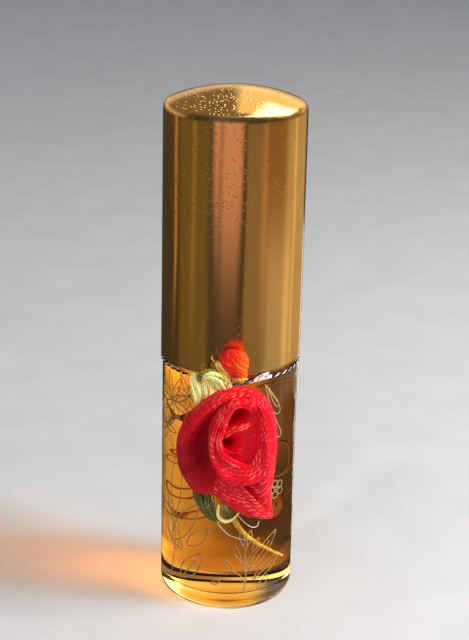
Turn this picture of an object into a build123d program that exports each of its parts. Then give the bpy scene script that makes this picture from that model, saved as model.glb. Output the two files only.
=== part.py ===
from build123d import *
import math
import os

# Roll-on perfume bottle: glass vial of oil, roller ball, tall pull-off cap, and a ribbon
# rose tied to the vial's neck.  Millimetres, +Z up, origin at the centre of the ring the
# bottle stands on.  The rose faces -Y.

# ---- vial ----
body_radius = 10.0
wall = 1.3
base_corner_radius = 2.45
base_thickness = 2.7
inner_corner_radius = 1.6
punt_radius = 6.4
punt_depth = 0.6
shoulder_start_z = 37.6
shoulder_radius = 2.4
neck_radius = 6.6
neck_bore_radius = 5.2
neck_top_z = 48.0
neck_lip_radius = 0.35
bead_radius = 6.9
bead_low_z = 44.4
bead_high_z = 46.4
bead_chamfer = 0.25
inner_shoulder_z = 37.0
inner_shoulder_radius = 1.9
oil_top_z = 42.6

# ---- roller ----
ball_radius = 4.75
ball_centre_z = 52.6
ball_clearance = 0.05
plug_low_z = 43.0
plug_hollow_radius = 4.2
plug_hollow_top_z = 47.0
feed_hole_radius = 2.2
flange_top_z = 49.2
socket_radius = 6.3
socket_top_z = 54.2
socket_edge_radius = 0.8

# ---- cap ----
cap_radius = 10.26
cap_wall = 0.4
cap_low_z = 38.66
cap_side_top_z = 75.24
cap_edge_radius = 1.2
dome_edge_angle = 22.5
cap_hem_radius = 0.12
liner_low_z = 40.3
liner_top_z = 72.0
liner_sleeve_wall = 0.86
liner_skirt_wall = 1.05
liner_grip_clearance = 0.05
liner_web_thickness = 1.2
liner_rib_count = 6
liner_rib_thickness = 0.8
liner_rib_low_z = 50.0
seal_radius = 6.4
seal_thickness = 1.2
seal_gap = 0.1

# ---- neck cord and its knot ----
cord_radius = 0.2
cord_ring_radius = 10.16
cord_z = 38.1
knot_start_angle = -88.0
knot_sweep_angle = 31.0
knot_ring_radius = 10.5
knot_radius = 0.42

# ---- ribbon rose ----
rose_back_y = -10.9
rose_front_y = -16.0
rose_dome_radius = 20.0
rose_centre = (1.4, 30.9)
rose_tip = (6.66, 17.6)
rose_upper_edge = [(6.35, 22.0), (6.85, 28.0), (6.5, 34.0), (3.6, 37.8), (0.4, 37.7),
                   (-2.6, 36.3), (-6.1, 32.4), (-7.2, 28.1), (-6.3, 24.0), (-4.6, 21.6)]
rose_lower_edge = [(-2.0, 21.3), (2.9, 18.1)]
coil_tilt = -15.0
core_half_axes = (2.2, 4.5)
inner_petal_half_axes = (4.1, 6.3)
left_split_top = (3.4, 45.0)
left_split_bottom = (-4.0, 12.0)
right_split_bottom = (6.7, 14.0)
sector_reach = 30.0
glue_pad_radius = 3.2
glue_pad_centre = (0.3, 29.5)
glue_pad_back_y = -5.0

# ---- green at the rose's foot ----
sepal_y = -11.8
sepal_loop_y = -12.6
sepal_left_line = [(-3.0, 21.4), (-1.6, 17.7)]
sepal_left_radius = 1.15
sepal_right_line = [(0.2, 19.6), (0.3, 18.0)]
sepal_right_radius = 0.8
sepal_loop_centre = (0.25, 18.4)
sepal_loop_radius = 1.75
sepal_loop_wire_radius = 0.26
sepal_loop_start_angle = 170.0
sepal_loop_sweep_angle = 185.0

# ---- gold stem and loose threads ----
stem_radius = 0.32
stem_route = [(0.9, -12.2, 17.4), (1.68, -11.95, 15.8), (2.43, -11.6, 14.69), (3.34, -11.2, 13.61),
              (4.24, -10.7, 12.64), (5.16, -10.1, 11.82), (6.23, -9.3, 10.84), (7.32, -8.3, 9.81),
              (8.41, -7.2, 8.76)]
thread_radius = 0.08
thread_long_route = [(-1.3, -11.8, 16.5), (-1.05, -11.8, 15.8), (0.4, -11.4, 14.1),
                     (2.4, -10.8, 13.1), (3.6, -10.4, 12.9)]
thread_short_route = [(1.64, -11.9, 17.5), (2.84, -11.4, 16.0), (3.73, -11.05, 15.3),
                      (4.47, -10.8, 15.35), (4.74, -10.7, 16.1)]
bend_share = 0.45

# ---- rosebud and its leaf ----
bud_foot = (1.3, -12.35, 39.3)
bud_lean_angle = 14.0
bud_foot_radius = 1.05
bud_flare_radius = 1.65
bud_flare_height = 1.0
bud_radius = 1.9
bud_wide_height = 2.1
bud_crown_radius = 1.45
bud_crown_height = 3.0
bud_height = 3.4
bud_seam_x = 0.45
bud_cup_radius = 1.1
bud_cup_height = 0.45
bud_stalk_radius = 0.35
bud_stalk_line = [(1.3, -12.2, 38.95), (1.7, -10.9, 38.1)]
bud_leaf_line = [(-1.75, 41.0), (-0.3, 39.5)]
bud_leaf_y = -11.6
bud_leaf_half_width = 0.65
bud_leaf_thickness = 0.5
curl_centre = (-2.3, 41.8)
curl_radius = 0.4
curl_wire_radius = 0.14
curl_start_angle = -60.0
curl_sweep_angle = 200.0

# ---- pale green leaf floss above the rose ----
leaf_loop_centre = (-2.1, -11.8, 37.6)
leaf_loop_radius = 1.5
leaf_floss_radius = 0.7
leaf_binding_radius = 0.2
leaf_binding_start_angle = 75.0
leaf_binding_sweep_angle = 75.0
leaf_left_line = [(-4.95, -10.6, 38.4), (-4.5, -11.3, 35.1)]
leaf_left_radius = 0.75
leaf_middle_line = [(-2.6, -11.6, 37.2), (-3.0, -11.8, 35.7)]
leaf_middle_radius = 0.6

match_tolerance = 0.01


def turned(face):
    """Solid of revolution about +Z of a face drawn in the XZ plane."""
    return revolve(face, Axis.Z, 360)


def disc(radius, low_z, high_z):
    return Pos(0, 0, low_z) * extrude(Circle(radius), high_z - low_z)


def tube(outer_radius, inner_radius, low_z, high_z):
    return disc(outer_radius, low_z, high_z) - disc(inner_radius, low_z, high_z)


def is_ring(edge, z, radius):
    """Whether a circular edge has this height and radius."""
    return abs(edge.center().Z - z) < match_tolerance and abs(edge.radius - radius) < match_tolerance


def capsule(start, end, radius):
    """Round-ended rod between two points."""
    axis = Vector(*end) - Vector(*start)
    rod = Plane(origin=start, z_dir=axis) * extrude(Circle(radius), axis.length)
    return rod + Pos(*start) * Sphere(radius) + Pos(*end) * Sphere(radius)


def rod(start, end, radius):
    axis = Vector(*end) - Vector(*start)
    return Plane(origin=start, z_dir=axis) * extrude(Circle(radius), axis.length)


def ring_sector(centre, ring_radius, wire_radius, start_angle, sweep_angle):
    """Part of a ring of round section standing in an XZ plane; angles run from +X to +Z."""
    section = Plane.XY * Pos(ring_radius, 0) * Circle(wire_radius)
    sector = revolve(section, Axis((0, 0, 0), (0, -1, 0)), sweep_angle)
    return Pos(*centre) * Rot(0, -start_angle, 0) * sector


def lying_ring_sector(z, ring_radius, wire_radius, start_angle, sweep_angle):
    """Part of a ring of round section about +Z; angles run from +X to +Y."""
    section = Plane.XZ * Pos(ring_radius, 0) * Circle(wire_radius)
    sector = revolve(section, Axis.Z, sweep_angle)
    return Pos(0, 0, z) * Rot(0, 0, start_angle) * sector


def bent_wire(route, radius):
    """Round wire along straight runs joined by tangent arcs."""
    points = [Vector(*point) for point in route]
    bends = []
    for before, corner, after in zip(points, points[1:], points[2:]):
        first_run = corner - before
        second_run = after - corner
        half_turn = math.radians(first_run.get_angle(second_run)) / 2
        shorter_run = min(first_run.length, second_run.length)
        bends.append(bend_share * shorter_run / math.tan(half_turn))
    path = FilletPolyline(*points, radius=bends)
    section = Plane(origin=path @ 0, z_dir=path % 0) * Circle(radius)
    return sweep(section, path)


def vial_outside():
    corner_centre_r = body_radius - base_corner_radius
    shoulder_centre_r = body_radius - shoulder_radius
    diagonal = math.sqrt(0.5)
    outline = [
        Line((0, 0), (corner_centre_r, 0)),
        ThreePointArc((corner_centre_r, 0),
                      (corner_centre_r + base_corner_radius * diagonal,
                       base_corner_radius * (1 - diagonal)),
                      (body_radius, base_corner_radius)),
        Line((body_radius, base_corner_radius), (body_radius, shoulder_start_z)),
        ThreePointArc((body_radius, shoulder_start_z),
                      (shoulder_centre_r + shoulder_radius * diagonal,
                       shoulder_start_z + shoulder_radius * diagonal),
                      (shoulder_centre_r, shoulder_start_z + shoulder_radius)),
        Polyline((shoulder_centre_r, shoulder_start_z + shoulder_radius),
                 (neck_radius, shoulder_start_z + shoulder_radius),
                 (neck_radius, bead_low_z),
                 (bead_radius, bead_low_z + bead_chamfer),
                 (bead_radius, bead_high_z - bead_chamfer),
                 (neck_radius, bead_high_z),
                 (neck_radius, neck_top_z),
                 (0, neck_top_z),
                 (0, 0)),
    ]
    return turned(Plane.XZ * make_face(outline))


def vial_cavity(top_z):
    """The space inside the vial, up to top_z inside the neck."""
    inner_radius = body_radius - wall
    corner_centre_r = inner_radius - inner_corner_radius
    shoulder_centre_r = inner_radius - inner_shoulder_radius
    diagonal = math.sqrt(0.5)
    outline = [
        Line((0, base_thickness), (corner_centre_r, base_thickness)),
        ThreePointArc((corner_centre_r, base_thickness),
                      (corner_centre_r + inner_corner_radius * diagonal,
                       base_thickness + inner_corner_radius * (1 - diagonal)),
                      (inner_radius, base_thickness + inner_corner_radius)),
        Line((inner_radius, base_thickness + inner_corner_radius), (inner_radius, inner_shoulder_z)),
        ThreePointArc((inner_radius, inner_shoulder_z),
                      (shoulder_centre_r + inner_shoulder_radius * diagonal,
                       inner_shoulder_z + inner_shoulder_radius * diagonal),
                      (shoulder_centre_r, inner_shoulder_z + inner_shoulder_radius)),
        Polyline((shoulder_centre_r, inner_shoulder_z + inner_shoulder_radius),
                 (neck_bore_radius, inner_shoulder_z + inner_shoulder_radius),
                 (neck_bore_radius, top_z),
                 (0, top_z),
                 (0, base_thickness)),
    ]
    return turned(Plane.XZ * make_face(outline))


def make_glass_vial():
    punt_sphere_radius = (punt_radius ** 2 + punt_depth ** 2) / (2 * punt_depth)
    punt = Pos(0, 0, punt_depth - punt_sphere_radius) * Sphere(punt_sphere_radius)
    vial = vial_outside() - vial_cavity(neck_top_z) - punt
    lip = [edge for edge in vial.edges().filter_by(GeomType.CIRCLE)
           if is_ring(edge, neck_top_z, neck_radius)]
    return fillet(lip, neck_lip_radius)


def make_ball_housing():
    body = disc(neck_bore_radius, plug_low_z, neck_top_z)
    body += disc(neck_radius, neck_top_z, flange_top_z)
    body += disc(socket_radius, flange_top_z, socket_top_z)
    body -= Pos(0, 0, ball_centre_z) * Sphere(ball_radius + ball_clearance)
    body -= disc(plug_hollow_radius, plug_low_z, plug_hollow_top_z)
    body -= disc(feed_hole_radius, plug_low_z, ball_centre_z)
    rim = [edge for edge in body.edges().filter_by(GeomType.CIRCLE)
           if is_ring(edge, socket_top_z, socket_radius)]
    return fillet(rim, socket_edge_radius)


def make_roller_ball():
    return Pos(0, 0, ball_centre_z) * Sphere(ball_radius)


def cap_form(inset, low_z):
    """The cap's outer form moved inwards by inset: side, rounded edge and shallow dome."""
    edge_centre_r = cap_radius - cap_edge_radius
    edge_radius = cap_edge_radius - inset
    edge_turn = math.radians(90 - dome_edge_angle)
    dome_radius = (edge_centre_r + cap_edge_radius * math.cos(edge_turn)) / math.cos(edge_turn)
    dome_centre_z = cap_side_top_z + cap_edge_radius * math.sin(edge_turn) - dome_radius * math.sin(edge_turn)
    dome_radius -= inset
    half_edge_turn = edge_turn / 2
    half_dome_turn = (math.pi / 2 + edge_turn) / 2
    side_r = cap_radius - inset
    edge_middle = (edge_centre_r + edge_radius * math.cos(half_edge_turn),
                   cap_side_top_z + edge_radius * math.sin(half_edge_turn))
    edge_end = (edge_centre_r + edge_radius * math.cos(edge_turn),
                cap_side_top_z + edge_radius * math.sin(edge_turn))
    dome_middle = (dome_radius * math.cos(half_dome_turn),
                   dome_centre_z + dome_radius * math.sin(half_dome_turn))
    top = (0, dome_centre_z + dome_radius)
    outline = [
        Line((side_r, low_z), (side_r, cap_side_top_z)),
        ThreePointArc((side_r, cap_side_top_z), edge_middle, edge_end),
        ThreePointArc(edge_end, dome_middle, top),
        Polyline(top, (0, low_z), (side_r, low_z)),
    ]
    return turned(Plane.XZ * make_face(outline))


def make_cap_shell():
    shell = cap_form(0, cap_low_z) - cap_form(cap_wall, cap_low_z - cap_wall)
    hem = [edge for edge in shell.edges().filter_by(GeomType.CIRCLE)
           if abs(edge.center().Z - cap_low_z) < match_tolerance]
    return fillet(hem, cap_hem_radius)


def seal_low_z():
    return ball_centre_z + ball_radius + seal_gap


def make_cap_seal():
    return disc(seal_radius, seal_low_z(), seal_low_z() + seal_thickness)


def make_cap_liner():
    sleeve_radius = cap_radius - cap_wall
    sleeve_bore = sleeve_radius - liner_sleeve_wall
    skirt_bore = bead_radius + liner_grip_clearance
    skirt_radius = skirt_bore + liner_skirt_wall
    web_low_z = seal_low_z() + seal_thickness + seal_gap
    web_high_z = web_low_z + liner_web_thickness
    liner = tube(sleeve_radius, sleeve_bore, liner_low_z, liner_top_z)
    liner += tube(skirt_radius, skirt_bore, liner_low_z, web_low_z)
    liner += disc(sleeve_radius, web_low_z, web_high_z)
    rib_length = sleeve_bore - skirt_radius
    rib_height = web_low_z - liner_rib_low_z
    rib = Pos(skirt_radius + rib_length / 2, 0, liner_rib_low_z + rib_height / 2)
    rib = rib * Box(rib_length + liner_skirt_wall, liner_rib_thickness, rib_height)
    for index in range(liner_rib_count):
        liner += Rot(0, 0, index * 360 / liner_rib_count) * rib
    return liner


def make_neck_cord():
    start_angle = knot_start_angle + knot_sweep_angle
    return lying_ring_sector(cord_z, cord_ring_radius, cord_radius, start_angle, 360 - knot_sweep_angle)


def make_cord_knot():
    return lying_ring_sector(cord_z, knot_ring_radius, knot_radius, knot_start_angle, knot_sweep_angle)


def front_block(face_xz, back_y, front_y):
    """A face drawn in x and z, made solid from back_y forward to front_y."""
    return extrude(Plane.XZ.offset(-back_y) * face_xz, back_y - front_y)


def rose_ellipse(half_axes):
    return Pos(*rose_centre) * Rot(0, 0, coil_tilt) * Ellipse(*half_axes)


def rose_sector(points):
    return front_block(make_face(Polyline(*points, close=True)), rose_back_y, rose_front_y)


def make_rose():
    """The ribbon rose's folds: a coiled core, an inner petal and three outer petals."""
    upper = Spline(rose_tip, *rose_upper_edge)
    lower = Polyline(rose_upper_edge[-1], *rose_lower_edge, rose_tip)
    outline = make_face([upper, lower])
    dome_centre_y = rose_front_y + rose_dome_radius
    dome = Pos(rose_centre[0], dome_centre_y, rose_centre[1]) * Sphere(rose_dome_radius)
    whole = front_block(outline, rose_back_y, rose_front_y) & dome
    core = front_block(rose_ellipse(core_half_axes), rose_back_y, rose_front_y)
    coil = front_block(rose_ellipse(inner_petal_half_axes), rose_back_y, rose_front_y)
    outer = whole - coil
    left_top = (-sector_reach, left_split_top[1])
    left_bottom = (-sector_reach, left_split_bottom[1])
    left_sector = rose_sector([rose_centre, left_split_top, left_top, left_bottom, left_split_bottom])
    right_top = (sector_reach, left_split_top[1])
    right_bottom = (sector_reach, right_split_bottom[1])
    right_sector = rose_sector([rose_centre, right_split_bottom, right_bottom, right_top, left_split_top])
    return {
        "rose_core": whole & core,
        "rose_petal_inner": (whole & coil) - core,
        "rose_petal_left": outer & left_sector,
        "rose_petal_right": outer & right_sector,
        "rose_petal_lower": outer - left_sector - right_sector,
    }


def make_glue_pad():
    pad = front_block(Pos(*glue_pad_centre) * Circle(glue_pad_radius), glue_pad_back_y, rose_back_y)
    return pad - disc(body_radius, 0, shoulder_start_z)


def make_sepals(rose):
    """Two green sepals under the rose and the pale loop of floss round them."""
    loop_centre = (sepal_loop_centre[0], sepal_loop_y, sepal_loop_centre[1])
    loop = ring_sector(loop_centre, sepal_loop_radius, sepal_loop_wire_radius,
                       sepal_loop_start_angle, sepal_loop_sweep_angle)
    left_ends = [(x, sepal_y, z) for x, z in sepal_left_line]
    right_ends = [(x, sepal_y, z) for x, z in sepal_right_line]
    left = capsule(*left_ends, sepal_left_radius)
    right = capsule(*right_ends, sepal_right_radius)
    for petal in rose.values():
        left -= petal
        right -= petal
        loop -= petal
    right -= left
    return {"sepal_left": left - loop, "sepal_right": right - loop, "sepal_loop": loop}


def make_rosebud(rose):
    """Two-lobed bud standing in front of the cap's edge, its cup and its stalk."""
    foot = (bud_foot_radius, 0)
    wide = (bud_radius, bud_wide_height)
    top = (0, bud_height)
    outline = [
        Line((0, 0), foot),
        ThreePointArc(foot, (bud_flare_radius, bud_flare_height), wide),
        ThreePointArc(wide, (bud_crown_radius, bud_crown_height), top),
        Line(top, (0, 0)),
    ]
    place = Pos(*bud_foot) * Rot(0, -bud_lean_angle, 0)
    bud = turned(Plane.XZ * make_face(outline))
    half_size = 4 * bud_height
    left_half = Pos(bud_seam_x - half_size / 2, 0, 0) * Box(half_size, half_size, half_size)
    cup = place * disc(bud_cup_radius, -bud_cup_height, 0)
    stalk = rod(*bud_stalk_line, bud_stalk_radius) - cup - make_cord_knot()
    for petal in rose.values():
        stalk -= petal
    return {
        "bud_lobe_left": place * (bud & left_half),
        "bud_lobe_right": place * (bud - left_half),
        "bud_cup": cup,
        "bud_stalk": stalk,
    }


def make_leaves(rose, bud):
    """Floss leaves between the cord, the bud and the rose."""
    loop = ring_sector(leaf_loop_centre, leaf_loop_radius, leaf_floss_radius, 0, 180)
    binding_ring = leaf_loop_radius + leaf_floss_radius + leaf_binding_radius
    binding = ring_sector(leaf_loop_centre, binding_ring, leaf_binding_radius,
                          leaf_binding_start_angle, leaf_binding_sweep_angle)
    left = capsule(*leaf_left_line, leaf_left_radius) - make_neck_cord()
    middle = capsule(*leaf_middle_line, leaf_middle_radius)
    for petal in rose.values():
        loop -= petal
        left -= petal
        middle -= petal
    left -= loop
    middle -= loop
    middle -= left
    (start_x, start_z), (end_x, end_z) = bud_leaf_line
    leaf_length = math.hypot(end_x - start_x, end_z - start_z)
    leaf_angle = math.degrees(math.atan2(end_z - start_z, end_x - start_x))
    slot = Rot(0, 0, leaf_angle) * SlotCenterToCenter(leaf_length, 2 * bud_leaf_half_width)
    slot = Pos((start_x + end_x) / 2, (start_z + end_z) / 2) * slot
    leaf = front_block(slot, bud_leaf_y + bud_leaf_thickness / 2, bud_leaf_y - bud_leaf_thickness / 2)
    for other in [loop, binding, *bud.values()]:
        leaf -= other
    curl_place = (curl_centre[0], bud_leaf_y, curl_centre[1])
    curl = ring_sector(curl_place, curl_radius, curl_wire_radius, curl_start_angle, curl_sweep_angle)
    return {
        "leaf_loop": loop,
        "leaf_binding": binding,
        "leaf_left": left,
        "leaf_middle": middle,
        "bud_leaf": leaf,
        "bud_leaf_curl": curl - leaf,
    }


def main():
    rose = make_rose()
    bud = make_rosebud(rose)
    sepals = make_sepals(rose)
    stem = bent_wire(stem_route, stem_radius)
    for sepal in sepals.values():
        stem -= sepal
    nodes = {
        "glass_vial": make_glass_vial(),
        "perfume_oil": vial_cavity(oil_top_z),
        "ball_housing": make_ball_housing(),
        "roller_ball": make_roller_ball(),
        "cap_shell": make_cap_shell(),
        "cap_liner": make_cap_liner(),
        "cap_seal": make_cap_seal(),
        "neck_cord": make_neck_cord(),
        "cord_knot": make_cord_knot(),
        "glue_pad": make_glue_pad(),
        "rose_stem": stem,
        "thread_long": bent_wire(thread_long_route, thread_radius),
        "thread_short": bent_wire(thread_short_route, thread_radius),
    }
    nodes.update(rose)
    nodes.update(sepals)
    nodes.update(bud)
    nodes.update(make_leaves(rose, bud))
    os.makedirs("parts", exist_ok=True)
    for name, shape in nodes.items():
        export_step(shape, os.path.join("parts", name + ".step"))


main()
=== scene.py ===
import math

import bpy
import numpy as np
from mathutils import Matrix, Vector


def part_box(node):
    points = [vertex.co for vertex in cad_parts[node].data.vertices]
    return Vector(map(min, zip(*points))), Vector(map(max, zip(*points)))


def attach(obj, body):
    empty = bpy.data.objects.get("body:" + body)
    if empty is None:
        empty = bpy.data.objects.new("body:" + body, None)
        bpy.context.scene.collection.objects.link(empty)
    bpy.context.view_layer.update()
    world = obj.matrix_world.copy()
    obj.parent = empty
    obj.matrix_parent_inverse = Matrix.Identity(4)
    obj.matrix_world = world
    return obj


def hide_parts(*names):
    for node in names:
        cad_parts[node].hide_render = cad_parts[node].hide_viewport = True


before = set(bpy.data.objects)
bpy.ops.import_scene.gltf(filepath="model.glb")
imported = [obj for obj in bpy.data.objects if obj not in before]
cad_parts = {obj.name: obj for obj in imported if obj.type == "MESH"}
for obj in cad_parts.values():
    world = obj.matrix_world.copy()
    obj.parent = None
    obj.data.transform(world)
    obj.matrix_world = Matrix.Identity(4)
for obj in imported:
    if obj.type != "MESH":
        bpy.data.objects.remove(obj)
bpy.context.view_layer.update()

MM = 0.001
BOTTLE = "bottle"
CAP = "cap"
random = np.random.default_rng(41)


# ---- camera, lamps, and glowing cards that paint reflections and the light behind the glass

def add_object(name, data):
    made = bpy.data.objects.new(name, data)
    bpy.context.scene.collection.objects.link(made)
    return made


def look_from(place, yaw, pitch, roll, lens):
    """Camera at place, turned right by yaw, down by pitch and rolled, all in degrees."""
    camera = add_object("camera", bpy.data.cameras.new("camera"))
    turn = (Matrix.Rotation(math.radians(-yaw), 4, "Z") @ Matrix.Rotation(math.radians(90 - pitch), 4, "X")
            @ Matrix.Rotation(math.radians(roll), 4, "Z"))
    camera.matrix_world = Matrix.Translation(place) @ turn
    camera.data.sensor_width = 36
    camera.data.lens = lens
    camera.data.clip_start = 0.01
    bpy.context.scene.camera = camera


def soft_light(name, place, target, width, height, power, colour):
    """Rectangular area light that faces target."""
    lamp = add_object(name, bpy.data.lights.new(name, "AREA"))
    lamp.data.shape = "RECTANGLE"
    lamp.data.size = width
    lamp.data.size_y = height
    lamp.data.energy = power
    lamp.data.color = colour
    lamp.location = place
    lamp.rotation_mode = "QUATERNION"
    lamp.rotation_quaternion = (Vector(target) - Vector(place)).to_track_quat("-Z", "Y")
    return lamp


def smooth_step(share):
    """A share from 0 to 1, eased at both ends."""
    return share * share * (3 - 2 * share)


def glow(angle, centre, half_width, softness):
    """1 within half_width degrees of centre, falling to 0 over softness degrees."""
    away = np.abs((angle - centre + 180) % 360 - 180)
    share = np.clip((half_width + softness - away) / softness, 0, 1)
    return smooth_step(share)[..., None]


def between(height, low, high, softness):
    """1 for heights, in mm, from low to high, falling to 0 over softness."""
    share = np.clip(np.minimum(height - low, high - height) / softness + 1, 0, 1)
    return smooth_step(share)[..., None]


# heights of cards, in mm: lowest, highest, and over how much they fade.  Below 0 they are on the
# ground, that far in from the ring's upright part.
SIDE = (16, 66, 6)
UPPER = (38, 66, 12)
LOWER = (8, 38, 8)
NEAR_BOTTLE = (-60, -46, 3)
BEHIND_OIL = (14, 52, 10)

# each card: its heights, its colour, and its middle, half width and fading in degrees
ALL_ROUND = (0, 180, 1)
# cards that glow but are no lamps and show only in mirroring surfaces: painted reflections, with bright
# bands, highlights and dark strips on the cap
PAINTED_REFLECTION_BASE = (0.06, 0.05, 0.035)
PAINTED_REFLECTION_CARDS = [
    ((-60, 6, 6), (0.10, 0.10, 0.10), (10, 60, 60)),
    ((-60, 40, 4), (1.3, 1.25, 1.15), (150, 1.5, 5)),
    (SIDE, (0.12, 0.08, 0.01), (-62, 20, 10)),
    (UPPER, (0.75, 0.36, 0.10), (-98, 0.8, 2.5)),
    (UPPER, (0.16, 0.11, 0.03), (-61, 1.0, 4)),
    (SIDE, (0.23, 0.16, 0.08), (33, 13, 6)),
    (UPPER, (0.22, 0.10, 0.03), (64, 18, 8)),
    (LOWER, (0.42, 0.37, 0.26), (74, 16, 14)),
    (SIDE, (0.50, 0.37, 0.18), (114, 22, 12)),
    (SIDE, (0.5, 0.42, 0.25), (106, 0.8, 2.5)),
    ((74, 300, 8), (0.17, 0.12, 0.06), (180, 70, 50)),
    ((96, 170, 10), (0.95, 0.72, 0.34), (162, 14, 6)),
    ((128, 300, 12), (4.0, 3.7, 3.1), (146, 12, 8)),
    ((82, 92, 5), (0.6, 0.44, 0.28), (200, 70, 20)),
    ((120, 250, 14), (4.0, 3.7, 3.1), (122, 26, 8))]
# cards that glow but are no lamps and show only through the glass and oil: painted light, dim all round,
# amber and bright behind to the right
PAINTED_THROUGH_GLASS_BASE = (0.10, 0.085, 0.075)
PAINTED_THROUGH_GLASS_CARDS = [
    ((-8, 120, 8), (0.35, 0.20, 0.04), (130, 40, 12)),
    ((-8, 120, 8), (0.09, 0.055, 0.03), (215, 30, 20)),
    ((-60, -40, 6), (0.30, 0.17, 0.035), (130, 50, 20)),
    ((-60, 2, 3), (0.62, 0.60, 0.50), (138, 32, 16)),
    ((-38, -18, 8), (0.22, 0.2, 0.1), (146, 10, 8)),
    (NEAR_BOTTLE, (0.26, 0.14, 0.03), ALL_ROUND),
    (NEAR_BOTTLE, (2.0, 1.4, 0.35), (138, 20, 14)),
    ((3, 16, 4), (0.40, 0.40, 0.35), (142, 30, 16)),
    (BEHIND_OIL, (0.9, 0.55, 0.10), (158, 30, 16)),
    (BEHIND_OIL, (2.0, 1.5, 0.5), (136, 12, 12))]


def card_light(a, z, base, cards):
    """An even light and soft cards on it, at an angle (0 in front, 90 to the right) and a height."""
    light = np.array(base) + 0 * z[..., None]
    for heights, colour, angles in cards:
        light = light + between(z, *heights) * np.array(colour) * glow(a, *angles)
    return light


def painted_reflection_glow(a, z):
    """Painted reflection that surfaces mirror: the glowing cards, a peach one that widens upwards, and a
    painted dark line.
    """
    painted_peach_band = between(z, 50, 72, 16) * glow(a, -8, np.interp(z, (25, 40, 60), (5, 12, 21)), 4)
    painted_peach_band = painted_peach_band * np.array((0.68, 0.33, 0.25)) * (1 - 0.5 * glow(a, -19, 1, 4))
    # a painted dark line in the reflection
    painted_dark_line = 0.7 * between(z, *UPPER) * glow(a, 15, 1.5, 2)
    return (card_light(a, z, PAINTED_REFLECTION_BASE, PAINTED_REFLECTION_CARDS) + painted_peach_band) * (1 - painted_dark_line)


def painted_through_glass_glow(a, z):
    """Painted light that shows through the glass and oil, from glowing cards that are no lamps."""
    return card_light(a, z, PAINTED_THROUGH_GLASS_BASE, PAINTED_THROUGH_GLASS_CARDS)


def make_painted_light_ring(name, light_at, mirrored):
    """Soft cards round the object, on the ground and upright, that glow though they are no lamps
    and show only in mirroring surfaces, as painted reflections, or else only through clear ones,
    as painted light behind the glass."""
    spokes, foot, radius, top = 720, 6.0, 60, 300
    reach = np.concatenate([np.linspace(foot - radius, -1, 50), np.linspace(0, 70, 72),
                            np.linspace(74, top, 46)])
    a, z = np.meshgrid(np.linspace(0, 360, spokes, endpoint=False), reach, indexing="ij")
    turn = np.radians(a)
    out = radius + np.minimum(z, 0)
    points = np.stack([out * np.sin(turn), -out * np.cos(turn), np.maximum(z, 0) + 0.02], -1) * MM
    mesh = bpy.data.meshes.new(name)
    faces = grid_faces(spokes, len(reach), close_rows=True)
    mesh.from_pydata(points.reshape(-1, 3).tolist(), [], faces)
    layer = mesh.attributes.new("glow", "FLOAT_COLOR", "POINT")
    rgba = np.concatenate([light_at(a, z).reshape(-1, 3), np.ones((spokes * len(reach), 1))], 1)
    layer.data.foreach_set("color", rgba.astype(np.float32).ravel())
    material = bpy.data.materials.new(name)
    material.use_nodes = True
    tree = material.node_tree
    tree.nodes.clear()
    painted = add_node(tree, "ShaderNodeAttribute", attribute_name="glow").outputs["Color"]
    light = add_node(tree, "ShaderNodeEmission", {"Color": painted, "Strength": 1.0})
    output = tree.nodes.new("ShaderNodeOutputMaterial")
    tree.links.new(light.outputs["Emission"], output.inputs["Surface"])
    mesh.materials.append(material)
    ring = add_object(name, mesh)
    for rays in ("camera", "diffuse", "shadow", "volume_scatter"):
        setattr(ring, "visible_" + rays, False)
    ring.visible_glossy = mirrored
    ring.visible_transmission = not mirrored


# ---- materials

def new_material(name):
    """A material's node tree and its Principled node."""
    material = bpy.data.materials.new(name)
    material.use_nodes = True
    tree = material.node_tree
    return material, tree, tree.nodes["Principled BSDF"]


def set_inputs(tree, node, values):
    """Gives inputs of a node plain values or links."""
    for key, value in values.items():
        if isinstance(value, bpy.types.NodeSocket):
            tree.links.new(value, node.inputs[key])
        else:
            node.inputs[key].default_value = value


def add_node(tree, kind, inputs=None, **settings):
    node = tree.nodes.new(kind)
    for key, value in settings.items():
        setattr(node, key, value)
    set_inputs(tree, node, inputs or {})
    return node


def object_place(tree):
    return add_node(tree, "ShaderNodeTexCoord").outputs["Object"]


def ramp(tree, factor, stops):
    """Colour ramp with (position, colour) stops."""
    node = add_node(tree, "ShaderNodeValToRGB", {"Fac": factor})
    elements = node.color_ramp.elements
    while len(elements) < len(stops):
        elements.new(0.5)
    for element, (position, colour) in zip(elements, stops):
        element.position = position
        element.color = (*colour, 1)
    return node.outputs["Color"]


def two_tone(tree, factor, low, high, low_at=0.3, high_at=0.7):
    return ramp(tree, factor, [(low_at, low), (high_at, high)])


def grey_ramp(tree, factor, low, high, low_at=0.3, high_at=0.7):
    return two_tone(tree, factor, (low,) * 3, (high,) * 3, low_at, high_at)


def bump(tree, shader, height, strength, distance):
    node = add_node(tree, "ShaderNodeBump", {"Height": height, "Strength": strength, "Distance": distance})
    tree.links.new(node.outputs["Normal"], shader.inputs["Normal"])


def noise(tree, scale, detail=4.0, place=None):
    inputs = {"Vector": place or object_place(tree), "Scale": scale, "Detail": detail}
    return add_node(tree, "ShaderNodeTexNoise", inputs).outputs["Fac"]


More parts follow.
